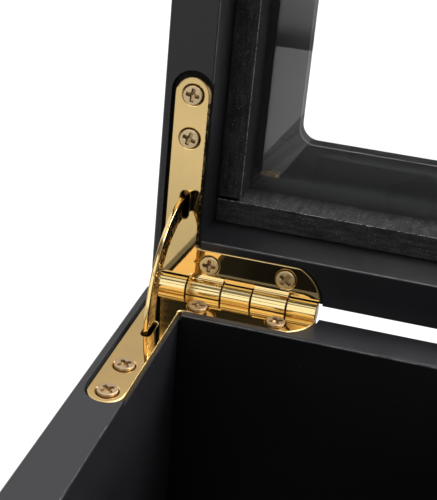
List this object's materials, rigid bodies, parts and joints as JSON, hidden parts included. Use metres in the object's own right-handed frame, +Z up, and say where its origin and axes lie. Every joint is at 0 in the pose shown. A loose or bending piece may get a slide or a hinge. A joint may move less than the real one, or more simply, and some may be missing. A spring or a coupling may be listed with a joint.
{
  "type": "tea bag organizer",
  "caption": "Black lacquered wooden tea bag box with lift-out compartment dividers and a glazed lid on brass quadrant hinges with stays.",
  "frame": {"origin": "centre of the underside, on the surface the box stands on", "axes": "+Z up, +X along the width, +Y towards the hinged rear"},
  "size_m": [0.301, 0.2687, 0.2873],
  "materials": {
    "black_lacquer": "satin black lacquer",
    "divider_lacquer": "satin black lacquer",
    "rough_black_board": "raw, stained black, rough",
    "black_felt": "felt",
    "clear_glass": "clear",
    "polished_brass": "polished",
    "screw_brass": "plated, slightly worn"
  },
  "bodies": {
    "box": {"front_wall": "black_lacquer", "back_wall": "black_lacquer", "left_wall": "black_lacquer", "right_wall": "black_lacquer", "bottom_panel": "black_lacquer", "base_felt": "black_felt", "left_body_leaf": "polished_brass", "right_body_leaf": "polished_brass", "left_hinge_pin": "polished_brass", "right_hinge_pin": "polished_brass", "left_body_screws": "screw_brass", "right_body_screws": "screw_brass"},
    "lid": {"lid_front_rail": "black_lacquer", "lid_back_rail": "black_lacquer", "lid_left_rail": "black_lacquer", "lid_right_rail": "black_lacquer", "lid_top_panel": "black_lacquer", "window_pane": "clear_glass", "pane_strip_front": "rough_black_board", "pane_strip_back": "rough_black_board", "pane_strip_left": "rough_black_board", "pane_strip_right": "rough_black_board", "left_lid_leaf": "polished_brass", "right_lid_leaf": "polished_brass", "left_lid_screws": "screw_brass", "right_lid_screws": "screw_brass"},
    "stay_left": {"left_stay": "polished_brass"},
    "stay_right": {"right_stay": "polished_brass"},
    "divider_long": {"long_divider": "divider_lacquer"},
    "divider_cross_1": {"cross_divider_1": "divider_lacquer"},
    "divider_cross_2": {"cross_divider_2": "divider_lacquer"},
    "divider_cross_3": {"cross_divider_3": "divider_lacquer"}
  },
  "joints": [
    {"name": "lid_hinge", "type": "hinge", "parent": "box", "child": "lid", "pos_m": [0, 0.1114, 0.06645], "axis": [-1, 0, 0], "range_deg": [-93.8, 0]},
    {"name": "left_stay_swing", "type": "hinge", "parent": "box", "child": "stay_left", "pos_m": [0, 0.1114, 0.06645], "axis": [-1, 0, 0], "range_deg": [-47, 0]},
    {"name": "right_stay_swing", "type": "hinge", "parent": "box", "child": "stay_right", "pos_m": [0, 0.1114, 0.06645], "axis": [-1, 0, 0], "range_deg": [-47, 0]},
    {"name": "long_divider_lift", "type": "slide", "parent": "box", "child": "divider_long", "axis": [0, 0, 1], "range_m": [0, 0.065]},
    {"name": "cross_divider_1_lift", "type": "slide", "parent": "divider_long", "child": "divider_cross_1", "axis": [0, 0, 1], "range_m": [0, 0.065]},
    {"name": "cross_divider_2_lift", "type": "slide", "parent": "divider_long", "child": "divider_cross_2", "axis": [0, 0, 1], "range_m": [0, 0.065]},
    {"name": "cross_divider_3_lift", "type": "slide", "parent": "divider_long", "child": "divider_cross_3", "axis": [0, 0, 1], "range_m": [0, 0.065]}
  ],
  "couplings": [
    {"joint": "left_stay_swing", "follows": "lid_hinge", "ratio": 0.5},
    {"joint": "right_stay_swing", "follows": "lid_hinge", "ratio": 0.5}
  ]
}
